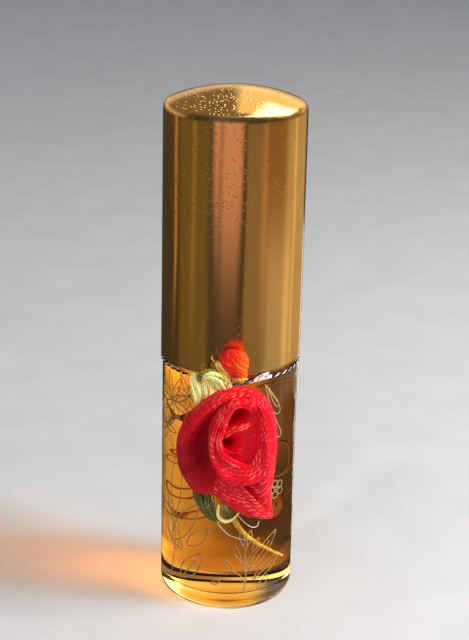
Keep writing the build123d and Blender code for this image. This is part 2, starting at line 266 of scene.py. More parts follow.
def gold_cap_material(name, anisotropic, roughness, speck_height):
    """Polished gold-anodised aluminium with faint draw lines, smears and pin-point specks."""
    material, tree, shader = new_material(name)
    place = object_place(tree)
    drawn = add_node(tree, "ShaderNodeMapping", {"Vector": place, "Scale": (1, 1, 0.25)}).outputs["Vector"]
    around = add_node(tree, "ShaderNodeTangent", direction_type="RADIAL", axis="Z").outputs["Tangent"]
    smears = noise(tree, 220, place=drawn)
    set_inputs(tree, shader, {
        "Metallic": 1.0, "Anisotropic": anisotropic, "Anisotropic Rotation": 0.25, "Tangent": around,
        "Base Color": two_tone(tree, noise(tree, 60), (0.83, 0.53, 0.21), (0.87, 0.58, 0.25)),
        "Roughness": grey_ramp(tree, smears, roughness, roughness + 0.05)})
    cells = add_node(tree, "ShaderNodeTexVoronoi", {"Vector": place, "Scale": 1900}).outputs["Distance"]
    dots = grey_ramp(tree, cells, 1.0, 0.0, 0.12, 0.30)
    gathered = grey_ramp(tree, noise(tree, 75, 2), 0.0, 1.0, 0.51, 0.58)
    specks = add_node(tree, "ShaderNodeMath", {0: dots, 1: gathered}, operation="MULTIPLY").outputs[0]
    bump(tree, shader, specks, 1.0, speck_height)
    return material


def let_lamps_through(tree, shader, tint):
    """Shadow rays pass straight through, tinted, so that light falls behind the glass."""
    clear = add_node(tree, "ShaderNodeBsdfTransparent", {"Color": (*tint, 1)})
    path = add_node(tree, "ShaderNodeLightPath")
    mix = add_node(tree, "ShaderNodeMixShader", {0: path.outputs["Is Shadow Ray"],
                                                1: shader.outputs["BSDF"], 2: clear.outputs["BSDF"]})
    tree.links.new(mix.outputs["Shader"], tree.nodes["Material Output"].inputs["Surface"])


def clear_glass_material(name="vial_glass", ior=1.5):
    """Clear vial glass, with barely rougher finger marks."""
    material, tree, shader = new_material(name)
    set_inputs(tree, shader, {
        "Base Color": (0.985, 0.99, 0.985, 1), "Transmission Weight": 1.0, "IOR": ior,
        "Roughness": grey_ramp(tree, noise(tree, 180), 0.0, 0.03, 0.55, 0.8)})
    let_lamps_through(tree, shader, (0.96, 0.97, 0.96))
    return material


def oil_material():
    """Amber oil.  The vial's wetted wall already has the bend from glass to oil, so the oil
    itself only takes up light along its path."""
    material, tree, shader = new_material("amber_oil")
    set_inputs(tree, shader, {"Base Color": (1.0, 1.0, 1.0, 1), "Transmission Weight": 1.0, "IOR": 1.0,
                              "Roughness": 0.0})
    dye = add_node(tree, "ShaderNodeVolumeAbsorption", {"Color": (0.93, 0.67, 0.0, 1), "Density": 225.0})
    tree.links.new(dye.outputs["Volume"], tree.nodes["Material Output"].inputs["Volume"])
    let_lamps_through(tree, shader, (1.0, 1.0, 1.0))
    return material


def plastic_material(name, colour, roughness, grain_scale=900):
    material, tree, shader = new_material(name)
    grain = noise(tree, grain_scale)
    darker = tuple(0.93 * c for c in colour)
    set_inputs(tree, shader, {
        "Base Color": two_tone(tree, grain, darker, colour, 0.35, 0.65),
        "Roughness": grey_ramp(tree, grain, roughness, roughness + 0.1),
        "Subsurface Weight": 0.15, "Subsurface Scale": 0.001})
    bump(tree, shader, grain, 0.15, 0.00003)
    return material


def steel_material():
    material, tree, shader = new_material("ball_steel")
    marks = noise(tree, 700)
    set_inputs(tree, shader, {"Metallic": 1.0, "Base Color": grey_ramp(tree, marks, 0.72, 0.82),
                              "Roughness": grey_ramp(tree, marks, 0.04, 0.1)})
    return material


def yarn_material(name, groove_shade, body, crest, sheen=0.1, sheen_tint=(1, 0.6, 0.5), painted_shade=None):
    """Silky yarn.  The tone value on the mesh paints light and shade into the colour: about 0.1 in
    the grooves, painted shade; 1 on top of each strand, where the crest colour is a painted
    highlight; and below 0 deep in a fold, where the deep colour is painted shade."""
    material, tree, shader = new_material(name)
    painted_light_tone = add_node(tree, "ShaderNodeAttribute", attribute_name="painted_light_tone").outputs["Fac"]
    mixed = add_node(tree, "ShaderNodeMath", {0: painted_light_tone, 1: noise(tree, 500)}, operation="ADD")
    halved = add_node(tree, "ShaderNodeMath", {0: mixed.outputs[0], 1: 0.5, 2: 0.34},
                      operation="MULTIPLY_ADD")
    # tones from low to high: painted shade in folds, painted shade in the grooves, the yarn's body colour,
    # and the crest colour as a painted highlight
    tones = [(0.34, painted_shade or groove_shade), (0.60, groove_shade), (0.78, body), (0.92, body), (1.0, crest)]
    fibres = noise(tree, 5200, 2)
    set_inputs(tree, shader, {
        "Base Color": ramp(tree, halved.outputs[0], tones), "Roughness": grey_ramp(tree, fibres, 0.48, 0.65),
        "Sheen Weight": sheen, "Sheen Roughness": 0.35, "Sheen Tint": (*sheen_tint, 1),
        "Specular IOR Level": 0.18})
    bump(tree, shader, fibres, 0.35, 0.00003)
    return material


def metal_thread_material(name, dark, light, roughness, dark_at=0.2, light_at=0.8, metallic=0.85):
    """Metallised thread: small flat facets from the bump that catch the light unevenly, and
    dark and light cells in the colour, painted glints and painted shade on those facets.
    """
    material, tree, shader = new_material(name)
    cells = add_node(tree, "ShaderNodeTexVoronoi", {"Vector": object_place(tree), "Scale": 2600})
    far = cells.outputs["Distance"]
    set_inputs(tree, shader, {
        "Base Color": two_tone(tree, cells.outputs["Color"], dark, light, dark_at, light_at),
        "Metallic": metallic,
        "Roughness": grey_ramp(tree, far, roughness - 0.1, roughness + 0.15, 0.0, 0.6)})
    bump(tree, shader, far, 0.4, 0.00005)
    return material


# ---- mesh tools

def smooth_rows(rows, count):
    """Rows of numbers, resampled evenly along a Catmull-Rom curve through them."""
    rows = np.asarray(rows, float)
    padded = np.vstack([2 * rows[0] - rows[1], rows, 2 * rows[-1] - rows[-2]])
    place = np.linspace(0, len(rows) - 1, count)
    span = np.minimum(place.astype(int), len(rows) - 2)
    t = (place - span)[:, None]
    a, b, c, d = (padded[span + k] for k in range(4))
    return 0.5 * (2 * b + (c - a) * t + (2 * a - 5 * b + 4 * c - d) * t ** 2
                  + (3 * b - a - 3 * c + d) * t ** 3)


def distances(points):
    """How far along a line each of its points is."""
    return np.concatenate([[0], np.cumsum(np.linalg.norm(np.diff(points, axis=0), axis=1))])


def resampled(wanted, places, rows):
    """Rows that stand at places, read off at the wanted places."""
    return np.stack([np.interp(wanted, places, rows[:, k]) for k in range(rows.shape[1])], 1)


def evenly_spaced(points, step):
    """The same line with its points a step apart."""
    lengths = distances(points)
    count = max(3, int(lengths[-1] / step) + 1)
    return resampled(np.linspace(0, lengths[-1], count), lengths, points)


def directions(line):
    """Unit tangents of a line."""
    ahead = np.gradient(line, axis=0)
    return ahead / np.linalg.norm(ahead, axis=1)[:, None]


def full_turn(count):
    return np.linspace(0, 2 * math.pi, count, endpoint=False)


def round_axis(reach, angle, z):
    """Points at a distance from the object's axis, an angle and a height."""
    return np.stack([reach * np.cos(angle), reach * np.sin(angle), z + 0 * angle], -1)


def grid_faces(rows, columns, close_rows=False, close_columns=False):
    """Quads of a rows by columns grid of points."""
    r = np.arange(rows if close_rows else rows - 1)
    c = np.arange(columns if close_columns else columns - 1)
    r, c = (x.ravel() for x in np.meshgrid(r, c, indexing="ij"))
    r2, c2 = (r + 1) % rows, (c + 1) % columns
    return np.stack([r * columns + c, r * columns + c2, r2 * columns + c2, r2 * columns + c], 1).tolist()


def piece(name, points_mm, faces, material, body=BOTTLE, painted_light_tone=None, replaces=(), slot=None):
    """A smooth mesh object from points in millimetres, riding on a body."""
    mesh = bpy.data.meshes.new(name)
    mesh.from_pydata((np.asarray(points_mm) * MM).tolist(), [], faces)
    mesh.validate()
    mesh.shade_smooth()
    if painted_light_tone is not None:
        layer = mesh.attributes.new("painted_light_tone", "FLOAT", "POINT")
        layer.data.foreach_set("value", np.asarray(painted_light_tone, np.float32).ravel())
    mesh.materials.append(material)
    made = add_object(name, mesh)
    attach(made, body)
    if replaces:
        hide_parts(*replaces)
    return made


def side_frames(line):
    """Unit tangents and two side directions along a line, turned as little as possible."""
    tangents = directions(line)
    side = np.cross(tangents[0], (0.3, 0.2, 1.0))
    sides = []
    for tangent in tangents:
        side = side - tangent * side.dot(tangent)
        side = side / np.linalg.norm(side)
        sides.append(side)
    sides = np.array(sides)
    return tangents, sides, np.cross(tangents, sides)


def strand(line, radius, sides=8, closed=False, ply=0.0, pitch=1.0, phase=0.0):
    """Tube along a line; ply is how deep a two-ply twist of the given pitch marks it."""
    line = np.asarray(line, float)
    radius = np.broadcast_to(radius, (len(line),))
    _, first, second = side_frames(line)
    along = distances(line)
    angles = np.arange(sides) * 2 * math.pi / sides
    twist = np.cos(2 * (angles[None, :] - 2 * math.pi * along[:, None] / (2 * pitch) + phase))
    reach = radius[:, None] * (1 + ply * twist)
    ring = (first[:, None, :] * np.cos(angles)[None, :, None]
            + second[:, None, :] * np.sin(angles)[None, :, None])
    points = line[:, None, :] + reach[:, :, None] * ring
    # the returned tone paints light and shade on the twist: lighter on each ply, darker between them
    painted_light_tone = np.broadcast_to(0.5 + 0.5 * twist * min(1, ply / 0.14), reach.shape)
    faces = grid_faces(len(line), sides, close_rows=closed, close_columns=True)
    count = len(line) * sides
    if not closed:
        faces.append(tuple(range(sides)))
        faces.append(tuple(range(count - 1, count - 1 - sides, -1)))
    return points.reshape(-1, 3), faces, painted_light_tone.ravel()


def joined(parts):
    """Several (points, faces, ridge) meshes as one."""
    points, faces, painted_light_tones, start = [], [], [], 0
    for part_points, part_faces, part_painted_light_tone in parts:
        points.append(part_points)
        painted_light_tones.append(part_painted_light_tone)
        faces += [[i + start for i in face] for face in part_faces]
        start += len(part_points)
    return np.vstack(points), faces, np.concatenate(painted_light_tones)


def floss(route, half_width, half_depth, strands, strand_radius, turns=0.3, taper=0.5, ply=0.14):
    """A flat bundle of silky strands along a route, facing -Y and drawn in at its ends by taper.
    half_width may be several widths, spread evenly along the route."""
    line = evenly_spaced(smooth_rows(route, 60), 0.12)
    tangents = directions(line)
    across = np.cross(tangents, (0.0, -1.0, 0.0))
    across /= np.linalg.norm(across, axis=1)[:, None]
    outward = np.cross(across, tangents)
    t = np.linspace(0, 1, len(line))
    widths = np.atleast_1d(half_width)
    width = np.interp(t, np.linspace(0, 1, len(widths)), widths)
    fullness = 1 - taper * (2 * t - 1) ** 4
    parts = []
    for index in range(strands):
        angle = 2 * math.pi * index / strands + random.uniform(-0.2, 0.2)
        reach = math.sqrt(random.uniform(0.35, 1.0))
        turning = angle + 2 * math.pi * turns * t
        wander = 0.12 * np.sin(2 * math.pi * (t * random.uniform(0.6, 1.6) + random.uniform()))
        a = (reach * np.cos(turning) + wander) * width * fullness
        b = (reach * np.sin(turning)) * half_depth * fullness
        path = line + across * a[:, None] + outward * b[:, None]
        first = random.integers(0, 3)
        last = len(path) - random.integers(0, 3)
        points, faces, painted_light_tone = strand(path[first:last], strand_radius * random.uniform(0.85, 1.15), 7,
                                      ply=ply, pitch=0.7, phase=random.uniform(0, 6))
        parts.append((points, faces, painted_light_tone + random.uniform(-0.25, 0.3)))
    return joined(parts)


# ---- ribbon

PLY_LENGTH = 0.95
YARN_PITCH = 0.42
YARN_HEIGHT = 0.07
YARN_SLANT = 0.8
FOLD_WAVE = 0.1
GRID_STEP = 0.07
RIBBON_THICKNESS = 0.22
ROSE_CENTRE = (1.2, 31.0)


def yarns(along, across, pitch=YARN_PITCH):
    """Relief, and a painted highlight along the middle of each ply, each from 0 to 1, of two-ply yarns laid
    side by side; distances in mm.
    """
    wander = 0.10 * np.sin(along / 1.9 + across / 0.8) + 0.06 * np.sin(along / 0.83 + 2.1 * across)
    lane = across / pitch + wander
    row = np.floor(lane)
    within = lane - row - 0.5
    turns = along / (PLY_LENGTH * (1 + 0.22 * np.sin(2.3 * row))) + 0.37 * row + 0.31 * np.sin(5.1 * row)
    ply = turns - np.floor(turns) - 0.5
    off = within - YARN_SLANT * ply
    rounded = np.sqrt(np.maximum(0, 1 - (1.9 * within) ** 2))
    # the painted highlight comes and goes in soft patches
    patch = 0.5 + 0.5 * np.sin(along / 1.3 + 1.9 * row) * np.sin(across / 2.1 + along / 3.7)
    relief = rounded * (0.6 + 0.4 * np.exp(-(off / 0.22) ** 2))
    painted_shine = rounded * np.exp(-(off / 0.15) ** 2) * (1 - (2 * ply) ** 4) * (0.25 + 0.75 * patch)
    return relief, painted_shine


def ease(value, low, high):
    """0 below low, 1 above high, smooth between."""
    return smooth_step(np.clip((value - low) / (high - low), 0, 1))


def swept_lanes(x, z, depth, along, across):
    """Yarns that run along the fold."""
    return along, across


def circling_lanes(x, z, depth, along, across):
    """Yarns that run round the rose's middle, and slantwise to its lower edge below that."""
    dx, dz = x - ROSE_CENTRE[0], z - ROSE_CENTRE[1]
    level = np.maximum(dz, -6.5)
    ring = 6.4 * np.sqrt((dx / 5.6) ** 2 + (level / 7.7) ** 2)
    lane = ring + 0.62 * np.maximum(0, -6.5 - dz) + 0.5 * (15.5 - depth)
    return 7 * np.arctan2(dx, -level / 1.37) + 0.75 * (level - dz), lane


def slanting_lanes(x, z, depth, along, across):
    """Yarns that run down to the right, side by side with the crease above them."""
    c, s = math.cos(math.radians(-50)), math.sin(math.radians(-50))
    return x * c + z * s, -x * s + z * c + 0.6 * depth


def surface_normals(points):
    """Unit normals of a grid of points, facing -Y on the whole."""
    normal = np.cross(np.gradient(points, axis=0), np.gradient(points, axis=1))
    normal /= np.linalg.norm(normal, axis=2)[..., None] + 1e-12
    return normal * (-1 if normal[..., 1].mean() > 0 else 1)


def hills(x, z, places):
    """Sum of bells at (centre, half x, half z, tilt, height) places, from 0 to 1."""
    total = 0 * x
    for centre, half_x, half_z, tilt, height in places:
        total = total + height * bell(x, z, centre, half_x, half_z, tilt)
    return np.clip(total, 0, 1)


def fold(stations, profile, lanes=swept_lanes, calm=(), dim=()):
    """One fold of ribbon.  Each station is (outer x, outer z, inner x, inner z, back depth,
    crest depth, inner depth, lip height); the profile gives (share from outer to inner, share of
    height, weight of the inner depth, weight of the lip) across it.  Depth is the distance
    towards -Y.  The yarns fade at the calm places, and at the dim ones painted shade darkens
    the tone."""
    fine = smooth_rows(stations, 400)
    lengths = distances((fine[:, 0:2] + fine[:, 2:4]) / 2)
    rows = int(lengths[-1] / GRID_STEP) + 1
    at = np.linspace(0, lengths[-1], rows)
    here = resampled(at, lengths, fine)
    cross = smooth_rows(profile, 200)
    width = np.linalg.norm(here[:, 0:2] - here[:, 2:4], axis=1).mean()
    height = (here[:, 5] - here[:, 4]).mean()
    steps = np.hypot(np.diff(cross[:, 0]) * width, np.diff(cross[:, 1]) * height)
    run = np.concatenate([[0], np.cumsum(steps)])
    columns = int(run[-1] / GRID_STEP) + 1
    across = np.linspace(0, run[-1], columns)
    cross = resampled(across, run, cross)
    outer, inner = here[:, None, 0:2], here[:, None, 2:4]
    flat = outer + (inner - outer) * cross[None, :, 0:1]
    back, crest, inside, lip = (here[:, k][:, None] for k in (4, 5, 6, 7))
    depth = back + (crest - back) * cross[None, :, 1] + (inside - crest) * cross[None, :, 2]
    depth = depth + lip * cross[None, :, 3]
    depth = depth + FOLD_WAVE * np.sin(at[:, None] / 2.3 + across[None, :] / 1.7)
    x, z = flat[..., 0], flat[..., 1]
    points = np.stack([x, -depth, z], -1)
    relief, painted_shine = yarns(*lanes(x, z, depth, at[:, None] + 0 * across, across[None, :] + 0 * at[:, None]))
    loud = 1 - hills(x, z, calm)
    # painted shade: the tone is darkened where the fold lies in shade
    painted_shade = hills(x, z, dim)
    points = points + surface_normals(points) * (relief * YARN_HEIGHT * loud)[..., None]
    # the tone paints light and shade: dark in the grooves between yarns, light on the painted highlights
    tone = (0.05 + 0.52 * relief + 0.52 * painted_shine) * loud + 0.5 * (1 - loud)
    return points.reshape(-1, 3), grid_faces(rows, columns), (tone * (1 - painted_shade) - 0.45 * painted_shade).ravel()


def thicken(made, offset):
    """Gives a fold the ribbon's thickness, behind it at -1 and in front at 1."""
    thick = made.modifiers.new("thickness", "SOLIDIFY")
    thick.thickness = RIBBON_THICKNESS * MM
    thick.offset = offset


def ribbon_piece(name, stations, profile, material, node, length, share=1.0, **options):
    """A fold with the ribbon's thickness.  length, a length of ribbon in mm, is not used, and
    share, how much of that rectangle is left where its end is cut slantwise, is not used."""
    points, faces, painted_light_tone = fold(stations, profile, **options)
    made = piece(name, points, faces, material, painted_light_tone=painted_light_tone, replaces=(node,), slot="red_ribbon")
    thicken(made, -1)
    return made


# share from outer to inner edge, share of the height, weight of the inner depth, weight of the lip
ROUNDED_FOLD = [
    (0.20, 0.0, 0, 0), (0.05, 0.10, 0, 0), (0.0, 0.38, 0, 0), (0.06, 0.70, 0, 0),
    (0.20, 0.93, 0, 0), (0.40, 1.0, 0.04, 0), (0.62, 1.0, 0.30, 0), (0.82, 1.0, 0.72, 0),
    (1.0, 1.0, 1.0, 0)]
DISHED_FOLD = [
    (0.12, 0.0, 0, 0), (0.03, 0.12, 0, 0), (0.0, 0.42, 0, 0), (0.03, 0.76, 0, 0),
    (0.12, 0.96, 0, 0), (0.24, 1.0, 0.06, 0), (0.42, 1.0, 0.34, 0), (0.62, 1.0, 0.74, 0),
    (0.82, 1.0, 0.95, 0), (1.0, 1.0, 1.0, 0)]
RING_FOLD = [
    (0.0, 0.0, 0, 0), (0.0, 0.45, 0, 0), (0.04, 0.84, 0, 0), (0.14, 1.0, 0, 0),
    (0.34, 1.0, 0.02, 0), (0.54, 1.0, 0.08, 0), (0.68, 1.0, 0.10, 0.55), (0.82, 1.0, 0.12, 1.0),
    (0.93, 1.0, 0.22, 0.85), (0.99, 1.0, 0.62, 0.3), (1.0, 1.0, 1.0, 0)]

ROSE_BACK = 11.0


def plain_fold(rows):
    """Stations without a lip, that all start at the rose's back, from (outer x, outer z, inner x,
    inner z, crest depth, inner depth) rows."""
    return [(*row[:4], ROSE_BACK, *row[4:], 0) for row in rows]


LEFT_FOLD = plain_fold([
    (3.7, 36.9, 3.1, 35.7, 13.1, 12.8), (2.2, 37.45, 1.9, 36.0, 14.2, 13.8),
    (-0.45, 37.3, 0.1, 35.6, 14.7, 13.8), (-2.6, 36.3, -1.3, 34.6, 14.8, 13.3),
    (-4.6, 34.4, -1.9, 33.2, 14.7, 12.6), (-6.1, 32.4, -2.3, 31.6, 14.3, 12.0),
    (-7.0, 30.2, -2.4, 30.2, 14.0, 11.7), (-7.2, 28.1, -2.3, 28.4, 13.8, 11.6),
    (-6.9, 25.6, -1.9, 26.4, 13.6, 11.6), (-6.0, 23.5, -1.2, 24.8, 13.4, 11.8),
    (-4.6, 21.6, -0.8, 23.6, 13.1, 12.2), (-2.0, 21.3, -0.2, 22.8, 12.9, 12.5)])
LEFT_CALM = [((-5.0, 25.2), 3.4, 4.2, 0, 1.2), ((-2.9, 28.2), 1.5, 3.2, 10, 0.8)]
# where painted shade darkens the left fold's colour: its valley and its lower part
LEFT_PAINTED_SHADE = [
    ((-3.6, 27.2), 1.9, 5.0, 8, 0.85), ((-2.1, 32.6), 1.0, 2.6, -30, 0.6),
    ((-6.4, 26.0), 1.6, 4.2, 0, 0.5)]
RIGHT_FOLD = plain_fold([
    (1.5, 37.45, 1.4, 36.8, 13.2, 12.8), (3.2, 37.4, 2.4, 36.2, 14.8, 14.1),
    (5.1, 36.4, 2.9, 35.2, 15.5, 13.9), (6.35, 34.2, 3.0, 33.4, 15.9, 13.8),
    (6.85, 31.0, 2.9, 31.0, 16.0, 13.9), (6.85, 27.5, 2.8, 28.6, 15.8, 13.9),
    (6.6, 24.4, 2.6, 26.0, 15.2, 13.8), (6.35, 22.0, 1.9, 23.6, 14.7, 13.5),
    (6.45, 19.6, 2.6, 21.4, 13.9, 13.1), (6.68, 17.5, 5.0, 19.0, 12.6, 12.4)])
RIGHT_CALM = [((3.1, 32.0), 1.1, 3.6, 0, 1.2)]
LOWER_FOLD = plain_fold([
    (-2.0, 21.5, -1.4, 25.0, 13.1, 12.4), (-1.14, 20.6, -0.4, 24.6, 13.6, 13.3),
    (0.4, 19.5, 1.0, 24.2, 14.0, 14.0), (2.9, 18.05, 2.6, 23.2, 14.1, 14.6),
    (5.1, 17.6, 4.4, 21.0, 13.6, 14.1), (6.65, 17.45, 6.2, 18.8, 12.5, 12.9)])
LOWER_CALM = [((1.6, 19.9), 2.0, 0.6, -30, 0.5)]
INNER_FOLD = [
    (4.2, 34.2, 3.6, 34.3, 13.2, 14.2, 13.7, 0.0),
    (4.2, 35.3, 3.1, 34.9, 12.8, 14.8, 13.4, 0.1),
    (3.4, 36.4, 2.6, 35.7, 12.2, 15.2, 12.9, 0.2),
    (1.9, 36.8, 1.8, 36.0, 12.0, 15.4, 12.8, 0.2),
    (0.4, 36.7, 0.9, 35.8, 11.8, 15.6, 12.8, 0.25),
    (-0.95, 35.4, 0.25, 34.9, 11.6, 15.7, 12.7, 0.25),
    (-1.8, 34.0, -0.2, 33.8, 11.5, 15.7, 12.6, 0.25),
    (-2.4, 32.4, -0.6, 32.4, 11.4, 15.7, 12.6, 0.3),
    (-2.6, 30.5, -1.1, 30.6, 11.4, 15.7, 12.5, 0.3),
    (-2.4, 28.2, -0.7, 29.0, 11.4, 15.7, 12.8, 0.3),
    (-1.65, 26.3, 0.3, 27.9, 11.5, 15.7, 13.3, 0.25),
    (-0.9, 24.9, 1.4, 27.4, 11.8, 15.6, 14.0, 0.15),
    (0.3, 24.2, 2.4, 27.2, 12.2, 15.5, 14.5, 0.05),
    (2.1, 23.9, 3.2, 27.3, 12.6, 15.5, 14.8, 0.0),
    (4.1, 24.5, 3.8, 27.9, 12.8, 15.5, 15.0, 0.0),
    (5.7, 26.0, 4.3, 29.2, 12.8, 15.4, 15.0, 0.0),
    (6.4, 28.5, 4.8, 30.9, 12.6, 15.1, 14.8, 0.0)]
INNER_CALM = [((-1.6, 30.5), 0.6, 3.5, 5, 0.4), ((0.2, 26.6), 1.6, 0.6, -25, 0.4),
              ((4.0, 35.0), 1.0, 1.0, 0, 0.7)]
CORE_CENTRE = (1.5, 31.0)
CORE_HALF_AXES = (3.7, 5.7)
CORE_TILT = math.radians(-16)


def bell(x, z, centre, half_x, half_z, tilt=0.0):
    """Rounded hill of height 1 at centre, reaching about half_x and half_z."""
    tilt = math.radians(tilt)
    dx, dz = x - centre[0], z - centre[1]
    u = dx * math.cos(tilt) + dz * math.sin(tilt)
    v = -dx * math.sin(tilt) + dz * math.cos(tilt)
    return np.exp(-((u / half_x) ** 2 + (v / half_z) ** 2))


def make_core(material):
    """The coiled middle: two hollows with folds of ribbon between them, and a smooth face."""
    rings, spokes = 84, 250
    share = np.linspace(0.004, 1, rings)[:, None]
    angle = full_turn(spokes)[None, :]
    a = CORE_HALF_AXES[0] * share * np.cos(angle)
    b = CORE_HALF_AXES[1] * share * np.sin(angle)
    x = CORE_CENTRE[0] + a * math.cos(CORE_TILT) - b * math.sin(CORE_TILT)
    z = CORE_CENTRE[1] + a * math.sin(CORE_TILT) + b * math.cos(CORE_TILT)
    depth = 13.2 + 1.5 * ease(x - 0.18 * (z - 30), -0.9, 2.2)
    depth -= 1.5 * bell(x, z, (1.5, 34.3), 1.9, 0.9, 38)
    depth -= 1.4 * bell(x, z, (0.05, 29.9), 1.05, 0.7, 8)
    depth += 1.6 * bell(x, z, (1.0, 32.5), 2.0, 0.55, 24)
    depth += 1.5 * bell(x, z, (-0.3, 31.2), 0.9, 0.36, 38)
    relief, painted_shine = yarns((x - 0.5) * 0.92 + (z - 32) * 0.39, -(x - 0.5) * 0.39 + (z - 32) * 0.92, 0.36)
    loud = np.clip(bell(x, z, (1.1, 32.7), 2.6, 0.9, 24) + bell(x, z, (-0.3, 31.2), 1.1, 0.6, 38), 0, 1)
    # painted shade in and around the two hollows, and painted highlights on the yarn folds, both in the tone
    painted_shade = hills(x, z, [((1.6, 34.4), 1.6, 0.6, 38, 0.4), ((0.05, 29.9), 1.0, 0.6, 8, 0.6),
                        ((0.9, 28.6), 1.4, 0.4, -20, 0.3)])
    tone = ((0.3 + 0.4 * relief + 0.6 * painted_shine) * loud + 0.55 * (1 - loud)) * (1 - painted_shade) - 0.3 * painted_shade
    points = np.stack([x, -depth - relief * YARN_HEIGHT * loud, z], -1)
    made = piece("ribbon_core", points.reshape(-1, 3), grid_faces(rings, spokes, close_columns=True),
                 material, painted_light_tone=tone.ravel(), replaces=("rose_core",), slot="red_ribbon")
    thicken(made, 1)


def edge_strand(stations, share, above, radius, first, last):
    """A loose strand that lies on a fold, from one share of its length to another."""
    fine = smooth_rows(stations, 300)[int(300 * first):int(300 * last)]
    flat = fine[:, 0:2] + (fine[:, 2:4] - fine[:, 0:2]) * share
    line = np.stack([flat[:, 0], -(fine[:, 5] + fine[:, 7] + above), flat[:, 1]], 1)
    return strand(evenly_spaced(line, 0.1), radius, 7, ply=0.12, pitch=0.8, phase=4 * share)


def make_rose():
    # each yarn's first colour is painted shade in its grooves and its last a painted highlight; deep is
    # painted shade in the folds
    ribbon = yarn_material("red_ribbon", (0.42, 0.0, 0.009), (0.76, 0.001, 0.014), (1.0, 0.14, 0.11),
                           sheen=0.06, painted_shade=(0.17, 0.0, 0.004))
    ribbon_piece("ribbon_left", LEFT_FOLD, DISHED_FOLD, ribbon, "rose_petal_left", 24,
                 calm=LEFT_CALM, dim=LEFT_PAINTED_SHADE)
    ribbon_piece("ribbon_right", RIGHT_FOLD, ROUNDED_FOLD, ribbon, "rose_petal_right", 22,
                 lanes=circling_lanes, calm=RIGHT_CALM)
    ribbon_piece("ribbon_lower", LOWER_FOLD, ROUNDED_FOLD, ribbon, "rose_petal_lower", 10, 0.7,
                 lanes=slanting_lanes, calm=LOWER_CALM)
    ribbon_piece("ribbon_inner", INNER_FOLD, RING_FOLD, ribbon, "rose_petal_inner", 27, calm=INNER_CALM)
    make_core(ribbon)
    # share across the fold, height above it, radius, and where it starts and ends along it
    loose = [edge_strand(INNER_FOLD, *lie) for lie in (
        (0.10, -0.03, 0.07, 0.10, 0.97), (0.30, 0.03, 0.07, 0.05, 0.60), (0.24, 0.02, 0.07, 0.52, 0.99),
        (0.80, 0.03, 0.09, 0.06, 0.56), (0.62, 0.00, 0.07, 0.12, 0.52), (0.42, 0.01, 0.07, 0.62, 0.97))]
    tongue = floss([(-1.0, -15.6, 32.9), (-1.35, -16.0, 31.6), (-1.3, -16.1, 30.2), (-0.8, -16.1, 29.0),
                    (0.5, -16.0, 27.9), (2.1, -15.7, 27.1)], (0.14, 0.2, 0.26, 0.34, 0.48, 0.5), 0.16, 14,
                   0.12, 0.12, 0.2, ply=0.05)
    stray = floss([(-0.9, -15.6, 30.0), (-0.1, -15.0, 29.2), (0.9, -14.7, 28.7), (1.6, -14.6, 28.8)], 0.12,
                  0.08, 3, 0.05, 0.3, 0.2)
    points, faces, painted_light_tone = joined(loose + [tongue, stray])
    piece("ribbon_edge_strands", points, faces, ribbon, painted_light_tone=0.25 + 0.6 * painted_light_tone, slot="red_ribbon")


# ---- bud, leaves, stem, cord

def piece_from(name, parts, material, node=None):
    """A piece that stands for node, or else for the node that its own name gives without the
    last word.  It hands piece a slot, its material's name without the number that Blender may
    add, which piece does not use."""
    points, faces, painted_light_tone = parts
    return piece(name, points, faces, material, painted_light_tone=painted_light_tone,
                 replaces=(node or name.rsplit("_", 1)[0],), slot=material.name.split(".")[0])


def bud_lobe(name, node, route, radii, depth, material):
    """One lobe of the bud: a rounded form of knotted strands from foot to tip.  The route and
    the radii run from the foot to the tip."""
    rings, spokes, strands = 120, 160, 15
    route = smooth_rows(route, rings)
    t = np.linspace(0, 1, rings)[:, None]
    angle = full_turn(spokes)[None, :]
    radius = np.interp(t[:, 0], np.linspace(0, 1, len(radii)), radii)[:, None]
    radius = radius * np.sqrt(np.maximum(0.0004, 1 - np.clip((t - 0.72) / 0.28, 0, 1) ** 2.2))
    wind = strands * (angle / (2 * math.pi)) + 1.6 * t + 0.2 * np.sin(8 * t + 2 * angle)
    within = wind - np.floor(wind) - 0.5
    along = 4.5 * t + 0.37 * np.floor(wind) + 0.5 * within
    knot = 0.5 + 0.5 * np.cos(2 * math.pi * along)
    relief = np.sqrt(np.maximum(0, 1 - (1.8 * within) ** 2)) * (0.55 + 0.45 * knot)
    # the tone paints light and shade: painted shade between strands, painted highlights on the knots
    tone = 0.2 + 0.4 * relief + 0.35 * relief * knot ** 2
    lumps = 0.06 * np.sin(7 * t + 2.0 * np.cos(angle)) + 0.05 * np.sin(13 * t + 3 * angle)
    reach = radius * (1 + lumps) + 0.07 * relief
    points = np.stack([route[:, 0:1] + reach * np.cos(angle),
                       route[:, 1:2] + reach * np.sin(angle) * depth,
                       route[:, 2:3] + 0 * angle], -1)
    faces = grid_faces(rings, spokes, close_columns=True)
    faces.append(tuple(range(spokes - 1, -1, -1)))
    faces.append(tuple(range((rings - 1) * spokes, rings * spokes)))
    return piece_from(name, (points.reshape(-1, 3), faces, tone.ravel()), material, node)


